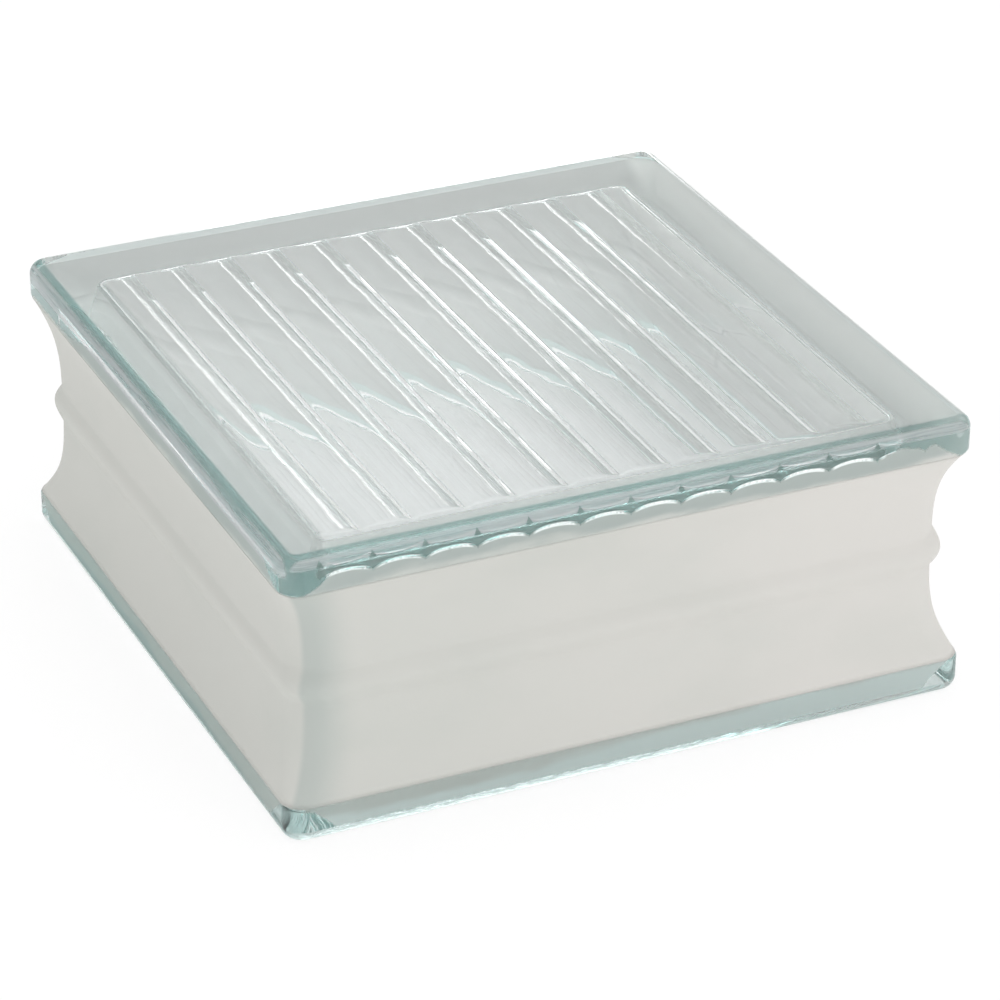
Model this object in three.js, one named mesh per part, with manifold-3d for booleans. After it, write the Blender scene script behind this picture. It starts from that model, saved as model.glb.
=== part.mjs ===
// Hollow pressed-glass building block, 190 x 190 x 80 mm.
//
// Two glass trays are pressed in the same mould and fused mouth to mouth, which leaves a bead of
// squeezed-out glass round the middle. Each tray is a face plate with an upright rim, a thinner
// wall that curves in behind the rim, and flutes pressed into the inside of its face. An opaque
// coating is applied to the hollow of the four sides, where mortar will grip the block.
//
// Millimetres, +Z up. The block lies on one face: the origin is the middle of that face, the
// flutes run along Y and the fused seam is the level plane half way up.

import * as THREE from 'three';
import { mergeVertices } from 'three/addons/utils/BufferGeometryUtils.js';
import Module from 'manifold-3d';

// --- Driving dimensions --------------------------------------------------------------------

const BLOCK_LENGTH = 190;          // along X
const BLOCK_WIDTH = 190;           // along Y
const BLOCK_DEPTH = 80;            // from face to face, along Z

const RIM_HEIGHT = 10;             // upright edge of each face plate
const RIM_CORNER_RADIUS = 5.6;     // of the rim, in plan
const RIM_EDGE_RADIUS = 3.5;       // rounding between face and rim
const RIM_LIP_HEIGHT = 0.8;        // small step under the rim, where the hollow starts
const RIM_LIP_DEPTH = 0.8;

const RECESS_DEPTH = 5;            // hollow of the side at its deepest, behind the rim
const RECESS_SQUARENESS = 3.2;     // 2 is a parabola, and more is deeper near the rims
const RECESS_CORNER_RADIUS = 11;   // of the wall where the hollow is deepest, in plan

const BEAD_HEIGHT = 10;            // fused bead round the seam
const BEAD_PROUD = 1.3;            // how far it stands out of the hollow
const BEAD_CORNER_RADIUS = 9;      // in plan, so that it stands out most at the corners

const WALL_THICKNESS = 7.6;        // wall at the seam, behind the bead
const WALL_DRAFT = 2;              // the cavity narrows by this much on each side towards a face
const CAVITY_CORNER_RADIUS = 4;    // inside corners, in plan
const CAVITY_SIDE_TURN = 3.8;      // rounding into the ceiling at the walls beside the flutes
const CAVITY_END_TURN = 1.6;       // the same at the walls where the flutes end

const FACE_THICKNESS = 10;         // from the outer face to the tips of the ridges
const FLUTE_PITCH = 14.05;         // from ridge to ridge
const FLUTE_DEPTH = 0.85;          // from the tip of a ridge to the bottom of a flute
const FLUTE_SQUARENESS = 2.2;      // 2 is a parabola, and more is flatter with steeper sides
const FLUTE_OFFSET = 1.56;         // of the middle ridge from the middle of the block

const COATING_THICKNESS = 0.3;
const COATING_GAP = 0.3;           // between the coating and the glass
const COATING_EDGE = 0.3;          // the coating stops this far short of the rim

// --- How finely curves are divided -----------------------------------------------------------

const CORNER_STEPS = 6;
const EDGE_STEPS = 4;
const RECESS_STEPS = 8;
const BEAD_STEPS = 4;
const DRAFT_STEPS = 3;
const TURN_STEPS = 5;
const FLUTE_STEPS = [0, 0.07, 0.18, 0.36, 0.62, 1]; // from a ridge to the middle of a flute

// --- Sizes worked out from them --------------------------------------------------------------

const SEAM_LEVEL = BLOCK_DEPTH / 2;
const RIM_UNDERSIDE = BLOCK_DEPTH - RIM_HEIGHT;
const BEAD_TOP = SEAM_LEVEL + BEAD_HEIGHT / 2;
const RIDGE_LEVEL = BLOCK_DEPTH - FACE_THICKNESS;
const FLUTE_LEVEL = RIDGE_LEVEL + FLUTE_DEPTH;
const CUT_MARGIN = 1;              // a cutting solid runs past what it cuts by this much

// --- Materials -------------------------------------------------------------------------------

const glass = new THREE.MeshStandardMaterial({
  name: 'pressed_glass', color: 0xcfdedb, roughness: 0.08, metalness: 0,
  transparent: true, opacity: 0.4,
});
const coating = new THREE.MeshStandardMaterial({
  name: 'edge_coating_paint', color: 0xd2d0cb, roughness: 0.7, metalness: 0,
});

// --- Solids ----------------------------------------------------------------------------------

const wasm = await Module();
wasm.setup();

/** A closed three.js geometry as a Manifold solid. */
function toSolid(geometry) {
  const bare = geometry.clone();
  bare.deleteAttribute('normal');
  bare.deleteAttribute('uv');
  const merged = mergeVertices(bare, 1e-5);
  return new wasm.Manifold(new wasm.Mesh({
    numProp: 3,
    vertProperties: new Float32Array(merged.attributes.position.array),
    triVerts: new Uint32Array(merged.index.array),
  }));
}

/** A Manifold solid as a three.js geometry. */
function toGeometry(solid) {
  const mesh = solid.getMesh();
  const geometry = new THREE.BufferGeometry();
  geometry.setAttribute('position', new THREE.BufferAttribute(mesh.vertProperties, mesh.numProp));
  geometry.setIndex(new THREE.BufferAttribute(mesh.triVerts, 1));
  geometry.computeVertexNormals();
  return geometry;
}

/** A level slice of the block: a rounded rectangle, set in from the block's outline. */
function slice(z, inset, cornerRadius, endInset = inset) {
  return { z, inset, cornerRadius, endInset };
}

/** The corners of a slice as points, anticlockwise from the +X side of the +X +Y corner. */
function slicePoints({ z, inset, cornerRadius, endInset }) {
  const halfX = BLOCK_LENGTH / 2 - inset;
  const halfY = BLOCK_WIDTH / 2 - endInset;
  const radius = Math.max(cornerRadius, 0.5);
  const points = [];
  for (const [sx, sy, start] of [[1, 1, 0], [-1, 1, 1], [-1, -1, 2], [1, -1, 3]]) {
    const corner = new THREE.EllipseCurve(
      sx * (halfX - radius), sy * (halfY - radius), radius, radius,
      start * Math.PI / 2, (start + 1) * Math.PI / 2,
    );
    for (const point of corner.getPoints(CORNER_STEPS)) {
      points.push(new THREE.Vector3(point.x, point.y, z));
    }
  }
  return points;
}

/** The skin between neighbouring rings of points, with the last joined to the first if looped. */
function skin(rings, looped) {
  const around = rings[0].length;
  const positions = rings.flat().flatMap((point) => point.toArray());
  const index = [];
  const bands = looped ? rings.length : rings.length - 1;
  for (let band = 0; band < bands; band += 1) {
    const low = band * around;
    const high = ((band + 1) % rings.length) * around;
    for (let i = 0; i < around; i += 1) {
      const next = (i + 1) % around;
      index.push(low + i, low + next, high + next, low + i, high + next, high + i);
    }
  }
  if (!looped) {
    const top = (rings.length - 1) * around;
    for (let i = 1; i < around - 1; i += 1) {
      index.push(0, i + 1, i, top, top + i, top + i + 1);
    }
  }
  const geometry = new THREE.BufferGeometry();
  geometry.setAttribute('position', new THREE.Float32BufferAttribute(positions, 3));
  geometry.setIndex(index);
  return geometry;
}

/** A solid lofted through slices that are listed from the lowest up. */
function loft(slices) {
  return skin(slices.map(slicePoints), false);
}

// --- Outside of the upper tray -----------------------------------------------------------------

/** How far the hollow of the side lies behind the rim at a height above the seam. */
function recessInset(z) {
  const share = Math.abs(z - SEAM_LEVEL) / (RIM_UNDERSIDE - SEAM_LEVEL);
  return RIM_LIP_DEPTH + (RECESS_DEPTH - RIM_LIP_DEPTH) * (1 - share ** RECESS_SQUARENESS);
}

/** The wall's corners open out from the rim's radius as the hollow gets deeper. */
function wallCornerRadius(inset) {
  const share = inset / RECESS_DEPTH;
  return RIM_CORNER_RADIUS + (RECESS_CORNER_RADIUS - RIM_CORNER_RADIUS) * share;
}

/** Heights that divide a stretch into equal steps, both ends included. */
function heights(from, to, steps) {
  return Array.from({ length: steps + 1 }, (_, i) => from + (to - from) * i / steps);
}

/** The bead, the hollow and the lip, from the seam up to the rim, as slices. */
function wallSlices() {
  const slices = [];
  for (const z of heights(SEAM_LEVEL, BEAD_TOP, BEAD_STEPS).slice(0, -1)) {
    const rise = (z - SEAM_LEVEL) / (BEAD_TOP - SEAM_LEVEL);
    const swell = Math.sqrt(1 - rise * rise);
    const wallRadius = wallCornerRadius(recessInset(z));
    const radius = wallRadius + (BEAD_CORNER_RADIUS - wallRadius) * swell;
    slices.push(slice(z, recessInset(z) - BEAD_PROUD * swell, radius));
  }
  for (const z of heights(BEAD_TOP, RIM_UNDERSIDE, RECESS_STEPS)) {
    const inset = recessInset(z);
    slices.push(slice(z, inset, wallCornerRadius(inset)));
  }
  return slices;
}

/** The upright rim and its rounded edge, up to the face, as slices. */
function rimSlices() {
  const edgeStart = BLOCK_DEPTH - RIM_EDGE_RADIUS;
  const slices = [slice(RIM_UNDERSIDE + RIM_LIP_HEIGHT, 0, RIM_CORNER_RADIUS)];
  for (const turn of heights(0, Math.PI / 2, EDGE_STEPS)) {
    const inset = RIM_EDGE_RADIUS * (1 - Math.cos(turn));
    const z = edgeStart + RIM_EDGE_RADIUS * Math.sin(turn);
    slices.push(slice(z, inset, RIM_CORNER_RADIUS - inset));
  }
  return slices;
}

// --- Cavity of the upper tray --------------------------------------------------------------------

/** How far a rounding into the ceiling stands in from the wall at a height. */
function turnInset(radius, z) {
  const rise = Math.max(z - (FLUTE_LEVEL - radius), 0);
  return radius - Math.sqrt(Math.max(radius * radius - rise * rise, 0));
}

/** The plain cavity: drafted walls that turn into a level ceiling, wider at the sides. */
function plainCavity() {
  const mouthInset = RECESS_DEPTH + WALL_THICKNESS;
  const turnLevel = FLUTE_LEVEL - CAVITY_SIDE_TURN;
  const slices = [slice(SEAM_LEVEL - CUT_MARGIN, mouthInset, CAVITY_CORNER_RADIUS)];
  const wall = heights(SEAM_LEVEL, turnLevel, DRAFT_STEPS);
  const turn = heights(0, Math.PI / 2, TURN_STEPS).slice(1)
    .map((angle) => turnLevel + CAVITY_SIDE_TURN * Math.sin(angle));
  for (const z of [...wall, ...turn]) {
    const drafted = mouthInset + WALL_DRAFT * Math.min((z - SEAM_LEVEL) / (turnLevel - SEAM_LEVEL), 1);
    const sideInset = drafted + turnInset(CAVITY_SIDE_TURN, z);
    const endInset = drafted + turnInset(CAVITY_END_TURN, z);
    slices.push(slice(z, sideInset, CAVITY_CORNER_RADIUS - turnInset(CAVITY_END_TURN, z), endInset));
  }
  return loft(slices);
}

/** How high a flute stands above the ridge tips, by the share of the way to its middle. */
function fluteHeight(share) {
  return FLUTE_DEPTH * (1 - (1 - share) ** FLUTE_SQUARENESS);
}

/** A bar as wide as the block whose top is fluted: channels side by side that meet in ridges. */
function flutedBar() {
  const ridgesEachSide = Math.ceil(BLOCK_LENGTH / 2 / FLUTE_PITCH);
  const halfPitch = FLUTE_PITCH / 2;
  const edge = ridgesEachSide * FLUTE_PITCH;
  const outline = new THREE.Shape();
  outline.moveTo(FLUTE_OFFSET - edge, SEAM_LEVEL - 2 * CUT_MARGIN);
  outline.lineTo(FLUTE_OFFSET + edge, SEAM_LEVEL - 2 * CUT_MARGIN);
  for (let ridge = ridgesEachSide; ridge > -ridgesEachSide; ridge -= 1) {
    const tip = FLUTE_OFFSET + ridge * FLUTE_PITCH;
    for (const share of FLUTE_STEPS) {
      outline.lineTo(tip - share * halfPitch, RIDGE_LEVEL + fluteHeight(share));
    }
    for (const share of FLUTE_STEPS.slice(1, -1).reverse()) {
      outline.lineTo(tip - FLUTE_PITCH + share * halfPitch, RIDGE_LEVEL + fluteHeight(share));
    }
  }
  outline.lineTo(FLUTE_OFFSET - edge, RIDGE_LEVEL);
  const bar = new THREE.ExtrudeGeometry(outline, { depth: BLOCK_WIDTH, bevelEnabled: false });
  bar.rotateX(Math.PI / 2);
  bar.translate(0, BLOCK_WIDTH / 2, 0);
  return bar;
}

/** One pressed tray, mouth down, as it lies in the upper half of the block. */
function pressedTray() {
  const outside = toSolid(loft([...wallSlices(), ...rimSlices()]));
  const cavity = toSolid(plainCavity()).intersect(toSolid(flutedBar()));
  return toGeometry(outside.subtract(cavity));
}

// --- Coating -------------------------------------------------------------------------------------

/** The wall's slices from rim to rim, stood off the glass by a distance. */
function coatingSlices(standOff) {
  const upper = wallSlices().filter(({ z }) => z < RIM_UNDERSIDE);
  const end = RIM_UNDERSIDE - COATING_EDGE;
  const endInset = recessInset(end);
  upper.push(slice(end, endInset, wallCornerRadius(endInset)));
  const lower = upper.slice(1).reverse().map((level) => ({ ...level, z: BLOCK_DEPTH - level.z }));
  return [...lower, ...upper].map(({ z, inset, cornerRadius }) =>
    slice(z, inset - standOff, cornerRadius + standOff));
}

/** A thin sleeve that follows the hollow sides and the bead. */
function coatingSleeve() {
  const outer = coatingSlices(COATING_GAP + COATING_THICKNESS).map(slicePoints);
  const inner = coatingSlices(COATING_GAP).map(slicePoints).reverse();
  return skin([...outer, ...inner], true);
}

// --- Assembly ------------------------------------------------------------------------------------

const tray = pressedTray();

const upperHalf = new THREE.Mesh(tray, glass);
upperHalf.name = 'upper_half';

const lowerHalf = new THREE.Mesh(tray.clone(), glass);
lowerHalf.name = 'lower_half';
lowerHalf.rotation.x = Math.PI;
lowerHalf.position.z = BLOCK_DEPTH;

const edgeCoating = new THREE.Mesh(coatingSleeve(), coating);
edgeCoating.name = 'edge_coating';

const glassBlock = new THREE.Group();
glassBlock.name = 'glass_block';
glassBlock.add(upperHalf, lowerHalf, edgeCoating);

export default glassBlock;
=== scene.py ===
"""Looks of a hollow pressed-glass building block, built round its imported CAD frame.

Two fluted trays are fused into one glass body with a sealed air space. The four sides carry an
opaque coating that is bonded to the glass and frays out on the rims. Lengths are in metres.
"""

import logging
import math
from dataclasses import dataclass
from functools import cached_property, reduce
from typing import Sequence

import bmesh
import bpy
from mathutils import Matrix, Vector

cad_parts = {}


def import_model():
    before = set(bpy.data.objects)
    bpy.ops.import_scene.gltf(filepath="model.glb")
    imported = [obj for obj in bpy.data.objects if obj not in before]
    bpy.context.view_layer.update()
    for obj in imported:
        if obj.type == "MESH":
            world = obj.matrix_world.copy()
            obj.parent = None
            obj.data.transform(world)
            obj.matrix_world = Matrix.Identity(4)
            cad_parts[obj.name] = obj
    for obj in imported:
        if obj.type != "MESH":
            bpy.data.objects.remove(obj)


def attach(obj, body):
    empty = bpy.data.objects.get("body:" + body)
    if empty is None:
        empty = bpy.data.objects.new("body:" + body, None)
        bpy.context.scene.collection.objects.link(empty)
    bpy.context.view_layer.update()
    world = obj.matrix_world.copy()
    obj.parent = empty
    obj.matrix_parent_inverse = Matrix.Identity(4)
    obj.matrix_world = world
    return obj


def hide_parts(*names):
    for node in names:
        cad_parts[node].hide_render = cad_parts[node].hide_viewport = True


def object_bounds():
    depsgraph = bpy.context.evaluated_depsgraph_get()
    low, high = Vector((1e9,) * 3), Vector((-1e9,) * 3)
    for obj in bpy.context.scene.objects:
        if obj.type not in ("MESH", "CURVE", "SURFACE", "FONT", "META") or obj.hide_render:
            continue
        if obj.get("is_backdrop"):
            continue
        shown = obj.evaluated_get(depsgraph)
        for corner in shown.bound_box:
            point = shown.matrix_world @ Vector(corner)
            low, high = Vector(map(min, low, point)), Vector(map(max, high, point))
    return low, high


LOG = logging.getLogger("glass_block")
Socket = bpy.types.NodeSocket
MM = 0.001
TINY = 1e-9
LIGHT_BOUNCES = 14
NOISE_LEVEL = 0.1


# --- Level slices -----------------------------------------------------------------------------


@dataclass(frozen=True)
class Slice:
    """A level rounded rectangle, set in from the block's outline.

    Args:
        z: Height of the slice.
        inset: How far its sides lie behind the block's sides.
        radius: Radius of its corners.
    """

    z: float
    inset: float
    radius: float


@dataclass(frozen=True)
class Plan:
    """The block's outline seen from above, which every slice is set in from."""

    half_x: float
    half_y: float

    def corner_centre(self, point: Vector, level: Slice) -> tuple[float, float]:
        """Returns the centre of the rounded corner in the point's quarter of a slice.

        Args:
            point: Any point on the slice.
            level: The slice.

        Returns:
            X and Y of the corner's centre.
        """
        cx = math.copysign(self.half_x - level.inset - level.radius, point.x)
        cy = math.copysign(self.half_y - level.inset - level.radius, point.y)
        return cx, cy

    def carry(self, verts: Sequence[bmesh.types.BMVert], old: Slice, new: Slice) -> None:
        """Moves ring vertices from one slice's outline to the matching places on another.

        Args:
            verts: Vertices that lie on the outline of the old slice.
            old: The slice that they lie on.
            new: The slice to carry them to.
        """
        for vert in verts:
            old_x, old_y = self.corner_centre(vert.co, old)
            new_x, new_y = self.corner_centre(vert.co, new)
            out_x = self._outward(vert.co.x, old_x)
            out_y = self._outward(vert.co.y, old_y)
            reach = math.hypot(out_x, out_y) or 1.0
            vert.co.x = self._along(vert.co.x, old_x, new_x) + out_x / reach * new.radius
            vert.co.y = self._along(vert.co.y, old_y, new_y) + out_y / reach * new.radius
            vert.co.z = new.z

    @staticmethod
    def _outward(place: float, centre: float) -> float:
        """Returns how far a place lies past a corner's centre, signed, or 0 before it."""
        past = abs(place) - abs(centre)
        return math.copysign(past, place) if past > TINY else 0.0

    @staticmethod
    def _along(place: float, old: float, new: float) -> float:
        """Returns where a place moves to along one axis as its corner's centre moves.

        Args:
            place: The place before.
            old: The corner's centre before.
            new: The corner's centre after.

        Returns:
            The new centre past the corner's centre, or the same share of the side.
        """
        if abs(place) >= abs(old) - TINY:
            return new
        return place * abs(new) / abs(old)


def steps(start: float, end: float, count: int) -> list[float]:
    """Returns count + 1 values in equal steps from start to end."""
    return [start + (end - start) * i / count for i in range(count + 1)]


def finish_mesh(bm: bmesh.types.BMesh, name: str, body: str) -> bpy.types.Object:
    """Turns a bmesh into a smooth-shaded object that rides on a body of the frame.

    Args:
        bm: The finished bmesh, which is freed.
        name: Name of the piece.
        body: The body that it rides on.

    Returns:
        The new object.
    """
    mesh = bpy.data.meshes.new(name)
    bm.to_mesh(mesh)
    bm.free()
    mesh.polygons.foreach_set("use_smooth", [True] * len(mesh.polygons))
    piece = bpy.data.objects.new(name, mesh)
    bpy.context.scene.collection.objects.link(piece)
    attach(piece, body)
    LOG.info("%s: %d faces", name, len(mesh.polygons))
    return piece


# --- Side profile that the glass and the coating share ----------------------------------------


@dataclass(frozen=True)
class SideProfile:
    """How the side of the block runs from one face to the other."""

    depth: float
    rim_height: float = 10.0 * MM
    rim_radius: float = 5.6 * MM
    edge_radius: float = 3.5 * MM
    lip_height: float = 0.8 * MM
    lip_depth: float = 0.25 * MM
    lip_middle: tuple[float, float] = (0.5, 0.35)
    recess_depth: float = 4.85 * MM
    recess_squareness: float = 3.6
    recess_radius: float = 11.0 * MM
    bead_height: float = 10.0 * MM
    bead_proud: float = 1.3 * MM
    bead_radius: float = 9.0 * MM
    bead_swell: float = 1.3
    bead_steps: int = 8
    hollow_steps: int = 18
    rim_steps: int = 4
    edge_steps: int = 9

    @property
    def seam(self) -> float:
        """Height of the fused seam."""
        return self.depth / 2

    @property
    def underside(self) -> float:
        """Height of the upper rim's lower edge."""
        return self.depth - self.rim_height

    def inset(self, z: float) -> float:
        """Returns how far the hollow lies behind the rim at a height in the upper half."""
        share = abs(z - self.seam) / (self.underside - self.seam)
        bulge = 1 - share ** self.recess_squareness
        return self.lip_depth + (self.recess_depth - self.lip_depth) * bulge

    def level(self, z: float, inset: float) -> Slice:
        """Returns the slice of the wall at a height, its corners opening out with the hollow."""
        share = inset / self.recess_depth
        return Slice(z, inset, self.rim_radius + (self.recess_radius - self.rim_radius) * share)

    def wall(self) -> list[Slice]:
        """Returns the slices of the hollow wall, from the seam up to the rim's underside."""
        bead_top = self.seam + self.bead_height / 2
        levels = []
        for z in steps(self.seam, bead_top, self.bead_steps)[:-1]:
            rise = (z - self.seam) / (bead_top - self.seam)
            swell = math.cos(math.pi / 2 * rise) ** self.bead_swell
            wall = self.level(z, self.inset(z))
            radius = wall.radius + (self.bead_radius - wall.radius) * swell
            levels.append(Slice(z, wall.inset - self.bead_proud * swell, radius))
        hollow = steps(bead_top, self.underside, self.hollow_steps)
        return levels + [self.level(z, self.inset(z)) for z in hollow]

    def rim(self) -> list[Slice]:
        """Returns the slices of the rim and its rounded edge, up to the face."""
        start = self.underside + self.lip_height
        end = self.depth - self.edge_radius
        down, behind = self.lip_middle
        levels = [
            Slice(start - self.lip_height * down, self.lip_depth * behind, self.rim_radius),
            *(Slice(z, 0.0, self.rim_radius) for z in steps(start, end, self.rim_steps)),
        ]
        for turn in steps(0.0, math.pi / 2, self.edge_steps)[1:]:
            inset = self.edge_radius * (1 - math.cos(turn))
            levels.append(
                Slice(end + self.edge_radius * math.sin(turn), inset, self.rim_radius - inset)
            )
        return levels

    def mirrored(self, levels: Sequence[Slice]) -> list[Slice]:
        """Returns slices of the upper half with their mirror images below, from the lowest up."""
        low = [Slice(self.depth - s.z, s.inset, s.radius) for s in reversed(levels)]
        return low + [s for s in levels if s.z > self.seam + TINY]


def loft(bm: bmesh.types.BMesh, plan: Plan, levels: Sequence[Slice], corner: int) -> None:
    """Builds a closed solid through slices by extruding its top face from each to the next.

    Args:
        bm: The bmesh to build in.
        plan: The outline that the slices are set in from.
        levels: The slices, from the lowest up.
        corner: Steps round each corner.
    """
    first = levels[0]
    made = bmesh.ops.create_grid(bm, x_segments=1, y_segments=1, size=1.0)
    for vert in made["verts"]:
        vert.co.x *= plan.half_x - first.inset
        vert.co.y *= plan.half_y - first.inset
        vert.co.z = first.z
    bmesh.ops.bevel(
        bm, geom=made["verts"], offset=first.radius, offset_type="OFFSET", affect="VERTICES",
        segments=corner, profile=0.5, material=-1,
    )
    face = bm.faces[:][0]
    plan.carry(face.verts, first, first)
    spent = []
    for old, new in zip(levels, levels[1:]):
        grown = bmesh.ops.extrude_face_region(bm, geom=[face])
        verts = [item for item in grown["geom"] if isinstance(item, bmesh.types.BMVert)]
        spent.append(face)
        face = next(item for item in grown["geom"] if isinstance(item, bmesh.types.BMFace))
        plan.carry(verts, old, new)
    inner = [cap for cap in spent[1:] if cap.is_valid]
    bmesh.ops.delete(bm, geom=inner, context="FACES_ONLY")
    bmesh.ops.recalc_face_normals(bm, faces=bm.faces[:])


# --- Air space --------------------------------------------------------------------------------


@dataclass(frozen=True)
class Flutes:
    """Channels pressed side by side into the inside of a face, which meet in sharp ridges."""

    pitch: float = 14.05 * MM
    depth: float = 0.85 * MM
    squareness: float = 2.2
    ridge_round: float = 0.3 * MM
    offset: float = 1.56 * MM
    spread: tuple[float, ...] = (
        0.0, 0.03, 0.08, 0.15, 0.26, 0.42, 0.65, 0.95, 1.35, 1.9, 2.6, 3.5, 4.5, 5.7,
    )

    def height(self, x: float) -> float:
        """Returns how far the glass is cut back above the ridge tips at x."""
        half = self.pitch / 2
        place = (x - self.offset) / self.pitch
        to_ridge = abs(place - round(place)) * self.pitch
        softened = min(math.hypot(to_ridge, self.ridge_round), half)
        return self.depth * (1 - ((half - softened) / half) ** self.squareness)

    def stations(self, reach: float) -> list[float]:
        """Returns X places across a face, close together at the ridges.

        Args:
            reach: Half the width to cover.

        Returns:
            Places from -reach to reach.
        """
        count = math.ceil(reach / self.pitch) + 1
        places = set()
        for k in range(-count, count + 1):
            for step in self.spread:
                places |= {k * self.pitch + self.offset + s * step * MM for s in (-1, 1)}
            places.add((k + 0.5) * self.pitch + self.offset)
        return sorted(p for p in places if abs(p) < reach)


@dataclass(frozen=True)
class Cavity:
    """The air space: drafted walls that turn into a fluted ceiling and its mirror image below."""

    plan: Plan
    depth: float
    flutes: Flutes
    mouth_inset: float = 12.6 * MM
    draft: float = 2.0 * MM
    radius: float = 4.0 * MM
    face_thickness: float = 10.6 * MM
    end_turn: float = 2.8 * MM
    side_turn: float = 3.8 * MM
    blend: float = 0.25 * MM
    flutes_stop: float = 2.2 * MM
    span_stop: float = 8.0 * MM
    span_steps: int = 9
    draft_steps: int = 6
    grid_gap: float = 0.02 * MM
    grid_margin: float = 0.03 * MM
    weld: float = 0.002 * MM
    wall_steps: tuple[float, ...] = (
        0.0, 0.04, 0.14, 0.3, 0.5, 0.75, 1.05, 1.4, 1.8, 2.2, 2.6, 3.2, 4.0, 5.0, 6.0, 7.0,
    )

    @property
    def crown(self) -> float:
        """Height of the upper ceiling between the ridges."""
        return self.depth - self.face_thickness + self.flutes.depth

    def build(self, bm: bmesh.types.BMesh) -> None:
        """Builds the closed air space, with its faces pointing into it.

        Args:
            bm: The bmesh to build in.
        """
        seam = self.depth / 2
        top_inset = self.mouth_inset + self.draft
        reach_x = self.plan.half_x - top_inset
        reach_y = self.plan.half_y - top_inset
        near_x = {reach_x - s * MM for s in self.wall_steps}
        xs = self._merge(self.flutes.stations(reach_x - self.flutes_stop), near_x)
        near_y = {reach_y - s * MM for s in self.wall_steps}
        span = steps(0.0, reach_y - self.span_stop, self.span_steps)
        ys = self._merge([v for s in span for v in (s, -s)], near_y)
        made = bmesh.ops.create_grid(bm, x_segments=len(xs) - 1, y_segments=len(ys) - 1, size=1.0)
        for vert in made["verts"]:
            i = round((vert.co.x + 1) / 2 * (len(xs) - 1))
            j = round((vert.co.y + 1) / 2 * (len(ys) - 1))
            vert.co = self._ceiling(xs[i], ys[j], reach_x, reach_y)
        edge = [e for e in bm.edges if e.is_boundary]
        start = self.crown - max(self.end_turn, self.side_turn)
        level = Slice(start, top_inset, self.radius)
        for z in steps(start, seam, self.draft_steps):
            inset = self.mouth_inset + self.draft * (z - seam) / (start - seam)
            goal = Slice(z, inset, self.radius)
            grown = bmesh.ops.extrude_edge_only(bm, edges=edge)
            verts = {item for item in grown["geom"] if isinstance(item, bmesh.types.BMVert)}
            edges = [item for item in grown["geom"] if isinstance(item, bmesh.types.BMEdge)]
            edge = [e for e in edges if verts.issuperset(e.verts)]
            self.plan.carry(list(verts), level, goal)
            level = goal
        self._close(bm, seam)

    def _close(self, bm: bmesh.types.BMesh, seam: float) -> None:
        """Adds the mirror image below the seam and turns all faces towards the air.

        Args:
            bm: The bmesh with the upper half.
            seam: Height of the seam.
        """
        copy = bmesh.ops.duplicate(bm, geom=bm.verts[:] + bm.edges[:] + bm.faces[:])
        for vert in (v for v in copy["geom"] if isinstance(v, bmesh.types.BMVert)):
            vert.co.z = 2 * seam - vert.co.z
        bmesh.ops.remove_doubles(bm, verts=bm.verts[:], dist=self.weld)
        bmesh.ops.recalc_face_normals(bm, faces=bm.faces[:])
        bmesh.ops.reverse_faces(bm, faces=bm.faces[:])

    def _merge(self, places: Sequence[float], near: set[float]) -> list[float]:
        """Joins two sets of places into one sorted list with no close pairs.

        Args:
            places: Places across the whole width.
            near: Places near one wall, which are mirrored to the other.

        Returns:
            The sorted places.
        """
        found: list[float] = []
        fixed = sorted(near | {-p for p in near})
        inner = min(abs(p) for p in fixed)
        merged = sorted(fixed + [p for p in places if abs(p) < inner - self.grid_margin])
        for place in merged:
            if not found or place - found[-1] > self.grid_gap:
                found.append(place)
        return found

    def _ceiling(self, x: float, y: float, reach_x: float, reach_y: float) -> Vector:
        """Returns the ceiling's point for a grid place, drawn in at the rounded corners.

        Args:
            x: X of the grid place.
            y: Y of the grid place.
            reach_x: Half the ceiling's length.
            reach_y: Half its width.

        Returns:
            The point on the upper ceiling.
        """
        u = (abs(x) - (reach_x - self.radius)) / self.radius
        v = (abs(y) - (reach_y - self.radius)) / self.radius
        if u > 0 and v > 0:
            reach = max(u, v)
            angle = math.pi / 4 * (v / u if u >= v else 2 - u / v)
            x = math.copysign(reach_x - self.radius + reach * math.cos(angle) * self.radius, x)
            y = math.copysign(reach_y - self.radius + reach * math.sin(angle) * self.radius, y)
            turn = self.side_turn + (self.end_turn - self.side_turn) * math.sin(angle)
            turned = self._turned(turn, (1 - reach) * self.radius)
        else:
            turned = min(
                self._turned(self.side_turn, reach_x - abs(x)),
                self._turned(self.end_turn, reach_y - abs(y)),
            )
        fluted = self.crown - self.flutes.depth + self.flutes.height(x)
        share = max(self.blend - abs(fluted - turned), 0.0) / self.blend
        return Vector((x, y, min(fluted, turned) - share * share * self.blend / 4))

    def _turned(self, turn: float, to_wall: float) -> float:
        """Returns the height of a round turn of the given radius at a distance from the wall."""
        lack = max(turn - to_wall, 0.0)
        return self.crown - turn + math.sqrt(max(turn ** 2 - lack ** 2, 0.0))


# --- Finishes ---------------------------------------------------------------------------------


@dataclass(frozen=True)
class Shade:
    """A colour as linear red, green and blue."""

    red: float
    green: float
    blue: float

    @classmethod
    def srgb(cls, red: int, green: int, blue: int) -> "Shade":
        """Returns the shade of a screen colour given as 0 to 255."""
        def linear(value: int) -> float:
            """Returns the linear share of one channel."""
            share = value / 255
            return share / 12.92 if share <= 0.04045 else ((share + 0.055) / 1.055) ** 2.4
        return cls(linear(red), linear(green), linear(blue))

    def rgba(self) -> tuple[float, float, float, float]:
        """Returns the shade with full alpha."""
        return (self.red, self.green, self.blue, 1.0)


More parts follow.
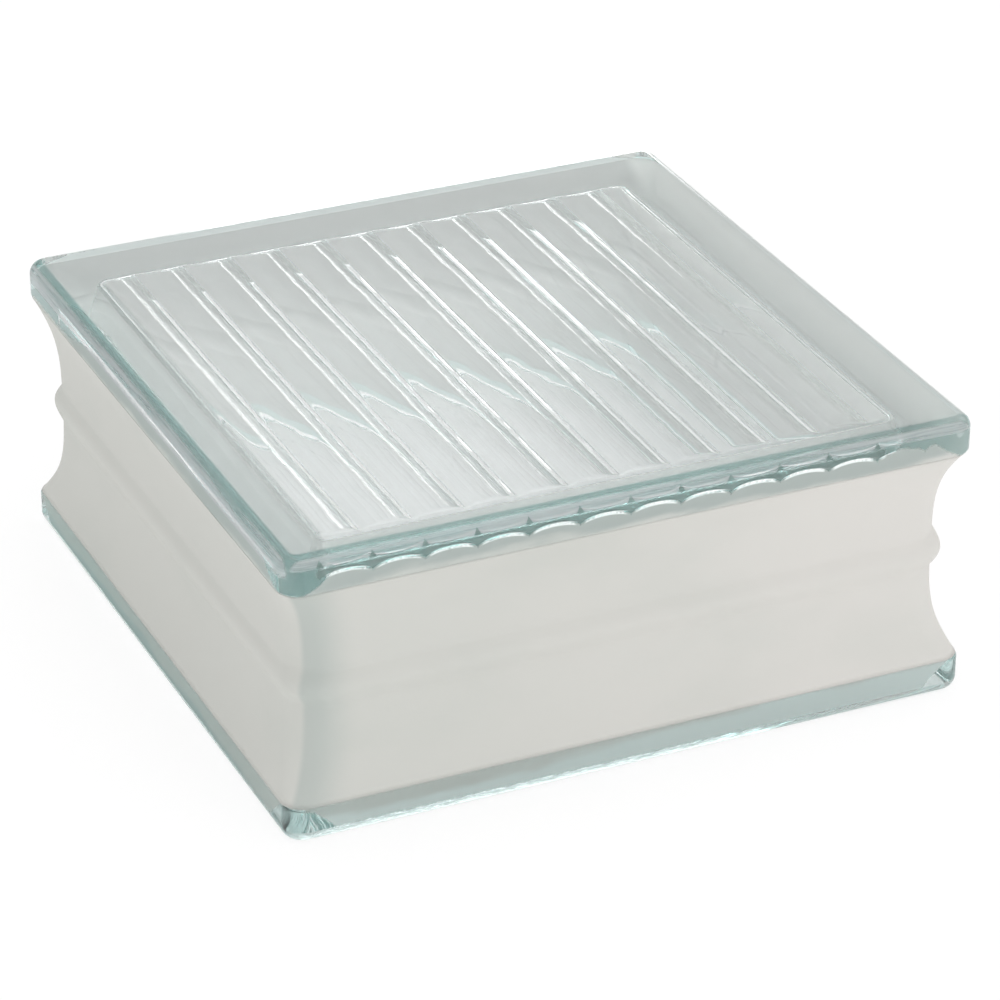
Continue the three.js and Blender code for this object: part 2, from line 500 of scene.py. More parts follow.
class NodeSheet:
    """A material's node tree, with short calls to add and join nodes."""

    def __init__(self, name: str) -> None:
        """Starts an empty material.

        Args:
            name: Name of the material.
        """
        self.material = bpy.data.materials.new(name)
        self.material.use_nodes = True
        self.tree = self.material.node_tree
        self.tree.nodes.clear()
        self.output = self.add("ShaderNodeOutputMaterial")

    def add(self, kind: str, **values: object) -> bpy.types.Node:
        """Adds a node.

        Args:
            kind: The node's type.
            values: Properties, or inputs by name with spaces as underscores.

        Returns:
            The new node.
        """
        node = self.tree.nodes.new(kind)
        for key, value in values.items():
            label = key.replace("_", " ")
            if hasattr(node, key):
                setattr(node, key, value)
            else:
                node.inputs[label].default_value = value
        return node

    def join(self, source: Socket, target: Socket) -> None:
        """Links an output to an input."""
        self.tree.links.new(source, target)

    def place(self, *squeeze: float) -> Socket:
        """Returns the object coordinates, squeezed along each axis if asked.

        Args:
            squeeze: Nothing, or the factors for X, Y and Z.

        Returns:
            The coordinates.
        """
        source = self.add("ShaderNodeTexCoord").outputs["Object"]
        if not squeeze:
            return source
        mapping = self.add("ShaderNodeMapping", Scale=squeeze)
        self.join(source, mapping.inputs["Vector"])
        return mapping.outputs["Vector"]

    @cached_property
    def axes(self) -> tuple[Socket, ...]:
        """The object coordinates X, Y and Z."""
        split = self.add("ShaderNodeSeparateXYZ")
        self.join(self.place(), split.inputs["Vector"])
        return tuple(split.outputs)

    def noise(self, scale: float, detail: float, *squeeze: float) -> Socket:
        """Returns noise on the object coordinates.

        Args:
            scale: Scale of the noise.
            detail: Its detail.
            squeeze: Nothing, or factors for X, Y and Z that stretch the pattern.

        Returns:
            The noise, about 0.25 to 0.75.
        """
        node = self.add("ShaderNodeTexNoise", Scale=scale, Detail=detail)
        self.join(self.place(*squeeze), node.inputs["Vector"])
        return node.outputs["Fac"]

    def calc(self, kind: str, first: object, second: object = 0.0) -> Socket:
        """Returns the result of a math node on two sockets or numbers.

        Args:
            kind: The operation.
            first: A socket or a number.
            second: A socket or a number.

        Returns:
            The result.
        """
        node = self.add("ShaderNodeMath", operation=kind)
        for index, value in enumerate((first, second)):
            if isinstance(value, (int, float)):
                node.inputs[index].default_value = value
            else:
                self.join(value, node.inputs[index])
        return node.outputs[0]

    def product(self, *factors: Socket) -> Socket:
        """Returns the product of two or more sockets."""
        return reduce(lambda first, second: self.calc("MULTIPLY", first, second), factors)

    def line(self, value: Socket, slope: float, start: float) -> Socket:
        """Returns slope times a value plus start.

        Args:
            value: The value.
            slope: Its factor.
            start: What is added.

        Returns:
            The result.
        """
        node = self.add("ShaderNodeMath", operation="MULTIPLY_ADD")
        self.join(value, node.inputs[0])
        node.inputs[1].default_value = slope
        node.inputs[2].default_value = start
        return node.outputs[0]

    def ramp(self, value: Socket, start: float, end: float) -> Socket:
        """Returns a smooth rise from 0 to 1 as the value goes from start to end.

        Args:
            value: The value.
            start: Where the rise starts.
            end: Where it ends.

        Returns:
            The risen share.
        """
        node = self.add("ShaderNodeMapRange", interpolation_type="SMOOTHSTEP")
        node.inputs["From Min"].default_value = start
        node.inputs["From Max"].default_value = end
        self.join(value, node.inputs["Value"])
        return node.outputs["Result"]

    def mix(self, share: Socket, first: Socket, second: Socket) -> Socket:
        """Returns a shader between two.

        Args:
            share: Share of the second shader.
            first: The first shader.
            second: The second shader.

        Returns:
            The mixed shader.
        """
        node = self.add("ShaderNodeMixShader")
        for source, slot in zip((share, first, second), node.inputs):
            self.join(source, slot)
        return node.outputs["Shader"]

    def blend(self, share: Socket, first: object, second: object) -> Socket:
        """Returns a colour between two.

        Args:
            share: Share of the second colour.
            first: A colour socket or a shade.
            second: A colour socket or a shade.

        Returns:
            The mixed colour.
        """
        node = self.add("ShaderNodeMix", data_type="RGBA")
        slots = [socket for socket in node.inputs if socket.type == "RGBA"]
        for slot, value in zip(slots, (first, second)):
            if isinstance(value, Shade):
                slot.default_value = value.rgba()
            else:
                self.join(value, slot)
        self.join(share, node.inputs["Factor"])
        return next(socket for socket in node.outputs if socket.type == "RGBA")


@dataclass(frozen=True)
class GlassFinish:
    """Clear pressed glass with a faint green body and the slight waves of pressing."""

    ior: float = 1.52
    roughness: float = 0.01
    absorbing: Shade = Shade(0.22, 0.76, 0.73)
    density: float = 1.0
    shadow: Shade = Shade(0.965, 0.975, 0.972)
    wave_scale: float = 90.0
    wave_height: float = 0.05 * MM
    wave_detail: float = 0.6
    wave_fade: float = 0.4
    streak_scale: float = 500.0
    streak_detail: float = 2.0
    streak_stretch: float = 0.04
    streak_share: float = 0.0

    def waves(self, sheet: NodeSheet) -> Socket:
        """Returns the normal of the wavy surface, with level streaks if it has a share of them.

        Args:
            sheet: The material's nodes.

        Returns:
            The bump's normal.
        """
        noise = sheet.add(
            "ShaderNodeTexNoise",
            Scale=self.wave_scale, Detail=self.wave_detail, Roughness=self.wave_fade,
        )
        sheet.join(sheet.place(), noise.inputs["Vector"])
        height = noise.outputs["Fac"]
        if self.streak_share:
            squeeze = (self.streak_stretch, self.streak_stretch, 1.0)
            streaks = sheet.noise(self.streak_scale, self.streak_detail, *squeeze)
            height = sheet.calc("ADD", height, sheet.calc("MULTIPLY", streaks, self.streak_share))
        bump = sheet.add("ShaderNodeBump", Strength=1.0, Distance=self.wave_height)
        sheet.join(height, bump.inputs["Height"])
        return bump.outputs["Normal"]

    def surface(self, sheet: NodeSheet) -> Socket:
        """Returns the glass surface, which lets the lamps' light straight through it.

        Args:
            sheet: The material's nodes.

        Returns:
            The mixed shader.
        """
        shader = sheet.add("ShaderNodeBsdfPrincipled", Roughness=self.roughness, IOR=self.ior)
        shader.inputs["Base Color"].default_value = (1.0, 1.0, 1.0, 1.0)
        shader.inputs["Transmission Weight"].default_value = 1.0
        sheet.join(self.waves(sheet), shader.inputs["Normal"])
        clear = sheet.add("ShaderNodeBsdfTransparent", Color=self.shadow.rgba())
        lamps = sheet.add("ShaderNodeLightPath").outputs["Is Shadow Ray"]
        return sheet.mix(lamps, shader.outputs["BSDF"], clear.outputs["BSDF"])

    def body(self, sheet: NodeSheet) -> None:
        """Adds the faint green body to a material.

        Args:
            sheet: The material's nodes.
        """
        volume = sheet.add(
            "ShaderNodeVolumeAbsorption", Color=self.absorbing.rgba(), Density=self.density
        )
        sheet.join(volume.outputs["Volume"], sheet.output.inputs["Volume"])

    def make(self, name: str) -> bpy.types.Material:
        """Returns the material.

        Args:
            name: Name of the material.

        Returns:
            The glass.
        """
        sheet = NodeSheet(name)
        sheet.join(self.surface(sheet), sheet.output.inputs["Surface"])
        self.body(sheet)
        return sheet.material


@dataclass(frozen=True)
class CoatingFinish:
    """Matt sprayed coating, mottled where it was sprayed thicker and thinner, with painted shade
    on the left.
    """

    shade: Shade = Shade.srgb(195, 193, 189)
    # The darker colour serves both the thinner patches of the mottle and the painted shade towards
    # the left side.
    thin_and_shaded: Shade = Shade.srgb(181, 183, 178)
    shade_left_reach: float = 80.0 * MM
    shade_left_share: float = 0.65
    # Painted shade: a darker band down the front-left corner where the side turns.
    corner: Shade = Shade.srgb(168, 173, 169)
    corner_shade_rise: tuple[float, float] = (-2.0 * MM, 1.0 * MM)
    corner_shade_fall: tuple[float, float] = (17.0 * MM, 4.0 * MM)
    corner_shade_side: tuple[float, float] = (0.0, -60.0 * MM)
    inner: Shade = Shade(0.955, 0.955, 0.945)
    # Painted shade and light on the inner face: darker high up, lighter on the front and right
    # walls, darker on the back of the left wall.
    painted_shade_high: Shade = Shade(0.67, 0.68, 0.67)
    painted_light_front_right: Shade = Shade(0.87, 0.88, 0.86)
    painted_shade_left: Shade = Shade(0.53, 0.56, 0.55)
    painted_shade_rise: tuple[float, float] = (30.0 * MM, 66.0 * MM)
    painted_light_and_shade_reach: tuple[float, float] = (86.0 * MM, 90.0 * MM)
    painted_shade_back: tuple[float, float] = (-30.0 * MM, 50.0 * MM)
    roughness: float = 0.75
    shine: float = 0.3
    mottle_scale: float = 30.0
    mottle_detail: float = 4.0
    mottle_stretch: float = 0.5
    worn: tuple[float, float] = (0.45, 0.75)
    worn_share: float = 0.35
    grain_scale: float = 900.0
    grain_detail: float = 3.0
    grain_strength: float = 0.6
    grain_height: float = 0.03 * MM

    def colour(self, sheet: NodeSheet) -> Socket:
        """Returns the colour seen from outside, with painted shade to the left and down one
        corner.

        Args:
            sheet: The material's nodes.

        Returns:
            The colour.
        """
        x, y, _ = sheet.axes
        squeeze = (self.mottle_stretch, self.mottle_stretch, 1.0)
        mottle = sheet.noise(self.mottle_scale, self.mottle_detail, *squeeze)
        worn = sheet.calc("MULTIPLY", sheet.ramp(mottle, *self.worn), self.worn_share)
        # Painted shade: the coating darkens towards the left side, where less light falls.
        left = sheet.ramp(x, self.shade_left_reach, -self.shade_left_reach)
        side = sheet.calc("MULTIPLY", left, self.shade_left_share)
        body = sheet.blend(sheet.calc("ADD", worn, side), self.shade, self.thin_and_shaded)
        # Painted shade: a darker band down the front-left corner.
        past = sheet.calc("SUBTRACT", x, y)
        rise, fall = sheet.ramp(past, *self.corner_shade_rise), sheet.ramp(past, *self.corner_shade_fall)
        band = sheet.product(rise, fall, sheet.ramp(x, *self.corner_shade_side))
        return sheet.blend(band, body, self.corner)

    def grain(self, sheet: NodeSheet) -> Socket:
        """Returns the normal of the fine sprayed grain.

        Args:
            sheet: The material's nodes.

        Returns:
            The bump's normal.
        """
        bump = sheet.add(
            "ShaderNodeBump", Strength=self.grain_strength, Distance=self.grain_height
        )
        sheet.join(sheet.noise(self.grain_scale, self.grain_detail), bump.inputs["Height"])
        return bump.outputs["Normal"]

    def paint(self, sheet: NodeSheet, colour: Socket) -> Socket:
        """Returns a matt, grainy surface.

        Args:
            sheet: The material's nodes.
            colour: Its colour.

        Returns:
            The shader.
        """
        shader = sheet.add("ShaderNodeBsdfPrincipled", Roughness=self.roughness)
        shader.inputs["Specular IOR Level"].default_value = self.shine
        sheet.join(colour, shader.inputs["Base Color"])
        sheet.join(self.grain(sheet), shader.inputs["Normal"])
        return shader.outputs["BSDF"]

    def make(self, name: str) -> bpy.types.Material:
        """Returns the material of the outer layer.

        Args:
            name: Name of the material.

        Returns:
            The coating.
        """
        sheet = NodeSheet(name)
        sheet.join(self.paint(sheet, self.colour(sheet)), sheet.output.inputs["Surface"])
        return sheet.material

    def make_bonded(self, name: str) -> bpy.types.Material:
        """Returns the material of the coating's inner face, which the glass shows, with painted
        shade.

        Args:
            name: Name of the material.

        Returns:
            The coating against the glass.
        """
        sheet = NodeSheet(name)
        x, y, z = sheet.axes
        # Painted light on the front and right walls, painted shade high up and on the back of the
        # left wall.
        start, end = self.painted_light_and_shade_reach
        near = sheet.calc("MAXIMUM", sheet.ramp(x, start, end), sheet.ramp(y, -start, -end))
        high = sheet.blend(near, self.painted_shade_high, self.painted_light_front_right)
        left = sheet.product(sheet.ramp(x, -start, -end), sheet.ramp(y, *self.painted_shade_back))
        high = sheet.blend(left, high, self.painted_shade_left)
        colour = sheet.blend(sheet.ramp(z, *self.painted_shade_rise), self.inner, high)
        shader = sheet.add("ShaderNodeBsdfPrincipled", Roughness=1.0)
        shader.inputs["Specular IOR Level"].default_value = 0.0
        sheet.join(colour, shader.inputs["Base Color"])
        sheet.join(shader.outputs["BSDF"], sheet.output.inputs["Surface"])
        return sheet.material


@dataclass(frozen=True)
class Arches:
    """The coating's arched upper edge on the front rim, one arch to each flute.

    Args:
        zone: Node output that is 1 where the arches are.
        edge: Node output with the height of their edge.
        foot: Node output with the distance to the nearest foot between two arches.
    """

    zone: Socket
    edge: Socket
    foot: Socket


@dataclass(frozen=True)
class ArchFinish:
    """The row of arches with a painted highlight, and dark glass painted between and above them as
    shade where the ridges end.
    """

    low: float = 73.3 * MM
    rise: float = 2.1 * MM
    pitch: float = 13.77 * MM
    foot: float = -3.0 * MM
    first: float = -86.0 * MM
    last: float = 67.5 * MM
    end_fade: float = 1.0 * MM
    front: tuple[float, float] = (-92.0 * MM, -93.0 * MM)
    # Painted highlight: the white line along each arch.
    line: Shade = Shade.srgb(236, 239, 238)
    highlight_width: float = 0.9 * MM
    highlight_full: float = 0.5 * MM
    highlight_feet: tuple[float, float] = (0.8 * MM, 2.0 * MM)
    # Painted shade: the dark look of glass seen end-on in the teeth and domes.
    painted_dark_glass: Shade = Shade.srgb(90, 105, 101)
    painted_dark_share: float = 0.8
    teeth_fade: float = 0.4 * MM
    teeth_top: tuple[float, float] = (76.9 * MM, 76.2 * MM)
    dome_low: float = 76.8 * MM
    dome_tip: float = 78.9 * MM
    dome_slope: float = 0.6
    dome_fade: float = 0.3 * MM

    def row(self, sheet: NodeSheet) -> Arches:
        """Returns where the arches lie on the rim.

        Args:
            sheet: The material's nodes.

        Returns:
            The arches.
        """
        x, y, _ = sheet.axes
        turn = sheet.calc("DIVIDE", sheet.calc("SUBTRACT", x, self.foot), self.pitch)
        swing = sheet.calc("SUBTRACT", sheet.calc("MULTIPLY", sheet.calc("FRACT", turn), 2.0), 1.0)
        bow = sheet.calc("SQRT", sheet.calc("SUBTRACT", 1.0, sheet.calc("MULTIPLY", swing, swing)))
        away = sheet.calc("SUBTRACT", 1.0, sheet.calc("ABSOLUTE", swing))
        zone = sheet.product(
            sheet.ramp(y, *self.front),
            sheet.ramp(x, self.first - self.end_fade, self.first),
            sheet.ramp(x, self.last + self.end_fade, self.last),
        )
        foot = sheet.calc("MULTIPLY", away, self.pitch / 2)
        return Arches(zone, sheet.line(bow, self.rise, self.low), foot)

    def lit(self, sheet: NodeSheet, row: Arches) -> Socket:
        """Returns the share of the painted highlight, a white line that edges each arch.

        Args:
            sheet: The material's nodes.
            row: The arches.

        Returns:
            The share.
        """
        under = sheet.calc("SUBTRACT", sheet.axes[2], row.edge)
        near = sheet.ramp(under, -self.highlight_width, -self.highlight_full)
        return sheet.product(near, row.zone, sheet.ramp(row.foot, *self.highlight_feet))

    def dark(self, sheet: NodeSheet, row: Arches) -> Socket:
        """Returns the share of painted shade, dark glass in the teeth between the arches and in
        the domes.

        Args:
            sheet: The material's nodes.
            row: The arches.

        Returns:
            The share.
        """
        height = sheet.axes[2]
        above = sheet.ramp(sheet.calc("SUBTRACT", height, row.edge), 0.0, self.teeth_fade)
        band = sheet.product(above, sheet.ramp(height, *self.teeth_top))
        to_tip = sheet.calc("SUBTRACT", self.dome_tip, height)
        width = sheet.calc("MULTIPLY", to_tip, self.dome_slope)
        dome = sheet.product(
            sheet.ramp(sheet.calc("SUBTRACT", width, row.foot), 0.0, self.dome_fade),
            sheet.ramp(height, self.dome_low, self.dome_low + self.dome_fade),
        )
        either = sheet.calc("MULTIPLY", sheet.calc("MAXIMUM", band, dome), self.painted_dark_share)
        return sheet.product(row.zone, either)


@dataclass(frozen=True)
class OversprayFinish:
    """Glass of the rims' sides under coating that thins to a film and ends in specks, with painted
    highlight and shade.
    """

    glass: GlassFinish = GlassFinish(streak_share=0.5)
    coating: CoatingFinish = CoatingFinish()
    arches: ArchFinish = ArchFinish()
    film: Shade = Shade.srgb(203, 212, 210)
    side_film: Shade = Shade.srgb(164, 173, 171)
    film_high: Shade = Shade.srgb(160, 165, 162)
    film_high_rise: tuple[float, float] = (69.8 * MM, 72.4 * MM)
    veil: Shade = Shade(0.85, 0.90, 0.89)
    thin_low: float = 0.5
    thin_high: float = 0.2
    thin_fall: tuple[float, float] = (50.0 * MM, 30.0 * MM)
    side_from: float = -94.0 * MM
    side_full: float = -94.9 * MM
    low_edge: float = 2.8 * MM
    high_edge: float = 75.6 * MM
    back_edge: float = 71.0 * MM
    back_reach: tuple[float, float] = (38.0 * MM, 70.0 * MM)
    corner_edge: float = 69.0 * MM
    corner_reach: float = 13.0 * MM
    corner_gap: float = 8.0 * MM
    film_edge: float = 8.5 * MM
    film_slope: float = 0.035
    film_fade: float = 1.5 * MM
    wander: float = 10.0 * MM
    wander_scale: float = 160.0
    wander_detail: float = 5.0
    wander_stretch: float = 0.25
    frays: tuple[tuple[float, float, float], ...] = (
        (90.0, 5.0, 2.5 * MM), (1400.0, 2.0, 1.5 * MM),
    )
    softness: float = 0.5 * MM
    painted_dark_edge: tuple[float, float] = (0.1, 0.4)
    # Grey smear on the rounded edges, partly painted shade for the darker look of the glass there.
    smear_and_shade: Shade = Shade.srgb(174, 174, 176)
    smear_share: float = 0.75
    smear_lets_in: float = 0.85
    smear_low: float = 76.6 * MM
    smear_left_low: float = 74.2 * MM
    smear_rise: float = 0.6 * MM
    smear_edge: tuple[float, float] = (-93.0 * MM, -94.0 * MM)
    smear_scale: float = 900.0
    smear_detail: float = 3.0
    smear_stretch: float = 0.03
    smear_streaks: tuple[float, float] = (0.3, 0.62)
    smear_ground: float = 0.3

    def make(self, name: str) -> bpy.types.Material:
        """Returns the material.

        Args:
            name: Name of the material.

        Returns:
            The oversprayed glass.
        """
        sheet = NodeSheet(name)
        row = self.arches.row(sheet)
        zone, smeared = self.smears(sheet)
        dark = self.arches.dark(sheet, row)
        # Grey smears, partly painted shade, over the outer colour.
        outer = sheet.blend(zone, self.colour(sheet, row), self.smear_and_shade)
        # Painted shade of the teeth and domes over the outer colour.
        outer = sheet.blend(sheet.ramp(dark, *self.painted_dark_edge), outer, self.arches.painted_dark_glass)
        inside = sheet.add("ShaderNodeNewGeometry").outputs["Backfacing"]
        paint = self.coating.paint(sheet, sheet.blend(inside, outer, self.coating.inner))
        veil = sheet.add("ShaderNodeBsdfTranslucent", Color=self.veil.rgba())
        fall = sheet.ramp(sheet.axes[2], *self.thin_fall)
        share = sheet.line(fall, self.thin_low - self.thin_high, self.thin_high)
        coated = sheet.mix(share, paint, veil.outputs["BSDF"])
        lamps = sheet.add("ShaderNodeLightPath").outputs["Is Shadow Ray"]
        held = sheet.line(lamps, -self.smear_lets_in, 1.0)
        thin_and_shaded = sheet.product(sheet.calc("MAXIMUM", smeared, dark), held)
        cover = sheet.calc("MAXIMUM", self.coverage(sheet, row), thin_and_shaded)
        surface = sheet.mix(cover, self.glass.surface(sheet), coated)
        sheet.join(surface, sheet.output.inputs["Surface"])
        self.glass.body(sheet)
        return sheet.material

    def smears(self, sheet: NodeSheet) -> tuple[Socket, Socket]:
        """Returns where the front and left rounded edges lie, and how far grey smears, partly
        painted shade, cover them.

        Args:
            sheet: The material's nodes.

        Returns:
            The zone of the rounded edges, and the share covered there.
        """
        x, y, z = sheet.axes
        sides = []
        for across, low in ((y, self.smear_low), (x, self.smear_left_low)):
            side = sheet.ramp(across, *self.smear_edge)
            sides.append(sheet.product(side, sheet.ramp(z, low, low + self.smear_rise)))
        zone = sheet.calc("MAXIMUM", *sides)
        squeeze = (self.smear_stretch, self.smear_stretch, 1.0)
        noise = sheet.noise(self.smear_scale, self.smear_detail, *squeeze)
        streaks = sheet.ramp(noise, *self.smear_streaks)
        filled = sheet.line(streaks, 1.0 - self.smear_ground, self.smear_ground)
        cover = sheet.calc("MULTIPLY", filled, self.smear_share)
        return zone, sheet.product(zone, cover)

    def colour(self, sheet: NodeSheet, row: Arches) -> Socket:
        """Returns the coating's outer colour, which greys where it thins to a film, with a painted
        highlight on the arches.

        Args:
            sheet: The material's nodes.
            row: The arches on the front rim.

        Returns:
            The colour.
        """
        x, _, z = sheet.axes
        squeeze = (self.wander_stretch, self.wander_stretch, 1.0)
        noise = sheet.noise(self.wander_scale, self.wander_detail, *squeeze)
        wander = sheet.calc("MULTIPLY", sheet.calc("SUBTRACT", noise, 0.5), self.wander)
        below = sheet.calc("SUBTRACT", sheet.line(x, self.film_slope, self.film_edge), z)
        edge = sheet.calc("ADD", below, wander)
        thinned = sheet.ramp(edge, -self.film_fade, self.film_fade)
        left = sheet.ramp(x, self.side_from, self.side_full)
        film = sheet.blend(left, self.film, self.side_film)
        lower = sheet.blend(thinned, self.coating.colour(sheet), film)
        rise = sheet.ramp(sheet.calc("ADD", z, wander), *self.film_high_rise)
        upper = sheet.blend(rise, lower, self.film_high)
        # Painted highlight along each arch.
        return sheet.blend(self.arches.lit(sheet, row), upper, self.arches.line)

    def coverage(self, sheet: NodeSheet, row: Arches) -> Socket:
        """Returns how much of the glass the coating covers, from 0 to 1.

        Args:
            sheet: The material's nodes.
            row: The arches on the front rim.

        Returns:
            The share covered.
        """
        x, y, z = sheet.axes
        apart = sheet.calc("SUBTRACT", sheet.calc("ABSOLUTE", x), sheet.calc("ABSOLUTE", y))
        share = sheet.calc("DIVIDE", sheet.calc("ABSOLUTE", apart), self.corner_reach)
        bowl = sheet.calc("MULTIPLY", share, share)
        front = sheet.ramp(y, self.side_from, self.side_full)
        back = sheet.product(
            sheet.ramp(x, self.side_from, self.side_full), sheet.ramp(y, *self.back_reach)
        )
        arched = sheet.calc("SUBTRACT", row.edge, self.high_edge)
        drop = sheet.calc("ADD", sheet.calc("MULTIPLY", front, arched),
                          sheet.calc("MULTIPLY", back, self.back_edge - self.high_edge))
        corner = sheet.line(bowl, self.high_edge - self.corner_edge, self.corner_edge)
        high = sheet.calc("MINIMUM", sheet.calc("ADD", drop, self.high_edge), corner)
        gap = sheet.calc("MAXIMUM", sheet.calc("SUBTRACT", 1.0, bowl), 0.0)
        low = sheet.line(gap, self.corner_gap, self.low_edge)
        above, below = sheet.calc("SUBTRACT", z, low), sheet.calc("SUBTRACT", high, z)
        inside = sheet.calc("MINIMUM", above, below)
        for scale, detail, reach in self.frays:
            noise = sheet.calc("SUBTRACT", sheet.noise(scale, detail), 0.5)
            inside = sheet.calc("ADD", inside, sheet.calc("MULTIPLY", noise, reach))
        return sheet.ramp(inside, -self.softness, self.softness)


# --- Pieces -----------------------------------------------------------------------------------


@dataclass
class FusedGlass:
    """The two pressed trays, fused into one glass body round the sealed air space."""

    plan: Plan
    profile: SideProfile
    cavity: Cavity
    corner_steps: int = 14
    smeared: float = -91.0 * MM
    face_margin: float = 0.01 * MM

    def build(self) -> bpy.types.Object:
        """Builds the body: the outside and the air space as one mesh.

        Returns:
            The glass piece.
        """
        outside = bmesh.new()
        levels = self.profile.mirrored(self.profile.wall() + self.profile.rim())
        loft(outside, self.plan, levels, self.corner_steps)
        for face in outside.faces:
            face.material_index = self._finish_at(face.calc_center_median())
        inside = bmesh.new()
        self.cavity.build(inside)
        spare = bpy.data.meshes.new("air_space")
        inside.to_mesh(spare)
        inside.free()
        outside.from_mesh(spare)
        bpy.data.meshes.remove(spare)
        piece = finish_mesh(outside, "fused_glass", "root")
        modifier = piece.modifiers.new("flat_faces", "WEIGHTED_NORMAL")
        modifier.weight = 80
        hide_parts("upper_half", "lower_half")
        return piece

    def _finish_at(self, place: Vector) -> int:
        """Returns which finish a place on the outside has.

        Args:
            place: The place.

        Returns:
            0 for plain glass, 1 for bonded coating, 2 for oversprayed glass.
        """
        shape = self.profile
        if shape.rim_height < place.z < shape.underside:
            return 1
        on_side = shape.edge_radius < place.z < shape.depth - shape.edge_radius
        on_edge = shape.underside < place.z < shape.depth - self.face_margin
        smeared = min(place.x, place.y) < self.smeared
        return 2 if on_side or (on_edge and smeared) else 0

    def dress(self, piece: bpy.types.Object) -> None:
        """Gives the glass its finish, and the bonded coating where the sides are hollow.

        Args:
            piece: The glass piece.
        """
        piece.data.materials.append(GlassFinish().make("pressed_glass"))
        piece.data.materials.append(CoatingFinish().make_bonded("bonded_coating"))
        piece.data.materials.append(OversprayFinish().make("oversprayed_glass"))


@dataclass
class EdgeCoating:
    """The opaque layer in the hollow of the four sides."""

    plan: Plan
    profile: SideProfile
    thickness: float = 0.25 * MM
    gap: float = 0.03 * MM
    feather: float = 4.0 * MM
    feather_end: float = 0.15
    corner_steps: int = 14

    def build(self) -> bpy.types.Object:
        """Builds the layer as a thin closed sleeve.

        Returns:
            The coating piece.
        """
        shell = bmesh.new()
        wall = [s for s in self.profile.wall() if s.z <= self.profile.underside + TINY]
        levels = self.profile.mirrored(wall)
        outer = []
        for level in levels:
            to_end = self.profile.seam - self.profile.rim_height - abs(level.z - self.profile.seam)
            share = min(max(to_end / self.feather, 0.0), 1.0)
            full = self.feather_end + (1 - self.feather_end) * share
            proud = self.gap + self.thickness * full
            outer.append(Slice(level.z, level.inset - proud, level.radius + proud))
        back = [Slice(s.z, s.inset - self.gap, s.radius + self.gap) for s in reversed(levels)]
        loft(shell, self.plan, outer + back, self.corner_steps)
        caps = [f for f in shell.faces if len(f.verts) > 4]
        bmesh.ops.delete(shell, geom=caps, context="FACES_ONLY")
        bmesh.ops.bridge_loops(shell, edges=[e for e in shell.edges if e.is_boundary])
        bmesh.ops.recalc_face_normals(shell, faces=shell.faces[:])
        piece = finish_mesh(shell, "coating_sleeve", "root")
        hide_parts("edge_coating")
        return piece

    def dress(self, piece: bpy.types.Object) -> None:
        """Gives the layer its finish.

        Args:
            piece: The coating piece.
        """
        piece.data.materials.append(CoatingFinish().make("edge_coating"))


# --- Studio -----------------------------------------------------------------------------------


@dataclass(frozen=True)
class StudioCamera:
    """The camera: where it stands round the block's middle, and how long its lens is."""

    azimuth: float = math.radians(-24.512)
    elevation: float = math.radians(28.090)
    roll: float = math.radians(0.268)
    distance: float = 1160.6 * MM
    slide_right: float = -4.35 * MM
    slide_up: float = 8.31 * MM
    sensor: float = 36.0
    lens_ratio: float = 4.3396

    def build(self, middle: Vector) -> bpy.types.Object:
        """Creates the camera and makes it the scene's.

        Args:
            middle: The middle of the block.

        Returns:
            The camera.
        """
        back = Vector((
            math.sin(self.azimuth) * math.cos(self.elevation),
            -math.cos(self.azimuth) * math.cos(self.elevation),
            math.sin(self.elevation),
        ))
        level = Vector((math.cos(self.azimuth), math.sin(self.azimuth), 0.0))
        upright = back.cross(level)
        right = math.cos(self.roll) * level + math.sin(self.roll) * upright
        up = -math.sin(self.roll) * level + math.cos(self.roll) * upright
        data = bpy.data.cameras.new("studio_camera")
        data.sensor_width = self.sensor
        data.lens = self.sensor * self.lens_ratio
        camera = bpy.data.objects.new("studio_camera", data)
        place = middle + back * self.distance - right * self.slide_right - up * self.slide_up
        turn = Matrix((right, up, back)).transposed().to_4x4()
        camera.matrix_world = Matrix.Translation(place) @ turn
        bpy.context.scene.collection.objects.link(camera)
        bpy.context.scene.camera = camera
        return camera


@dataclass(frozen=True)
class Lamp:
    """A soft square lamp that faces the block.

    Args:
        name: Name of the lamp.
        azimuth: Where it stands round the block, in degrees from the back towards the right.
        elevation: How high it stands, in degrees above the block's middle.
        distance: How far from the block's middle it hangs.
        size: Length of its sides.
        glow: Radiance of its face.
    """

    name: str
    azimuth: float
    elevation: float
    distance: float
    size: float
    glow: float

    def build(self, middle: Vector) -> None:
        """Hangs the lamp.

        Args:
            middle: The point that it faces.
        """
        turn, rise = math.radians(self.azimuth), math.radians(self.elevation)
        level = math.cos(rise)
        away = Vector((math.sin(turn) * level, math.cos(turn) * level, math.sin(rise)))
        data = bpy.data.lights.new(self.name, "AREA")
        data.size = self.size
        data.energy = math.pi * self.size ** 2 * self.glow
        lamp = bpy.data.objects.new(self.name, data)
        lamp.location = middle + self.distance * away
        lamp.rotation_euler = (-away).to_track_quat("-Z", "Y").to_euler()
        bpy.context.scene.collection.objects.link(lamp)


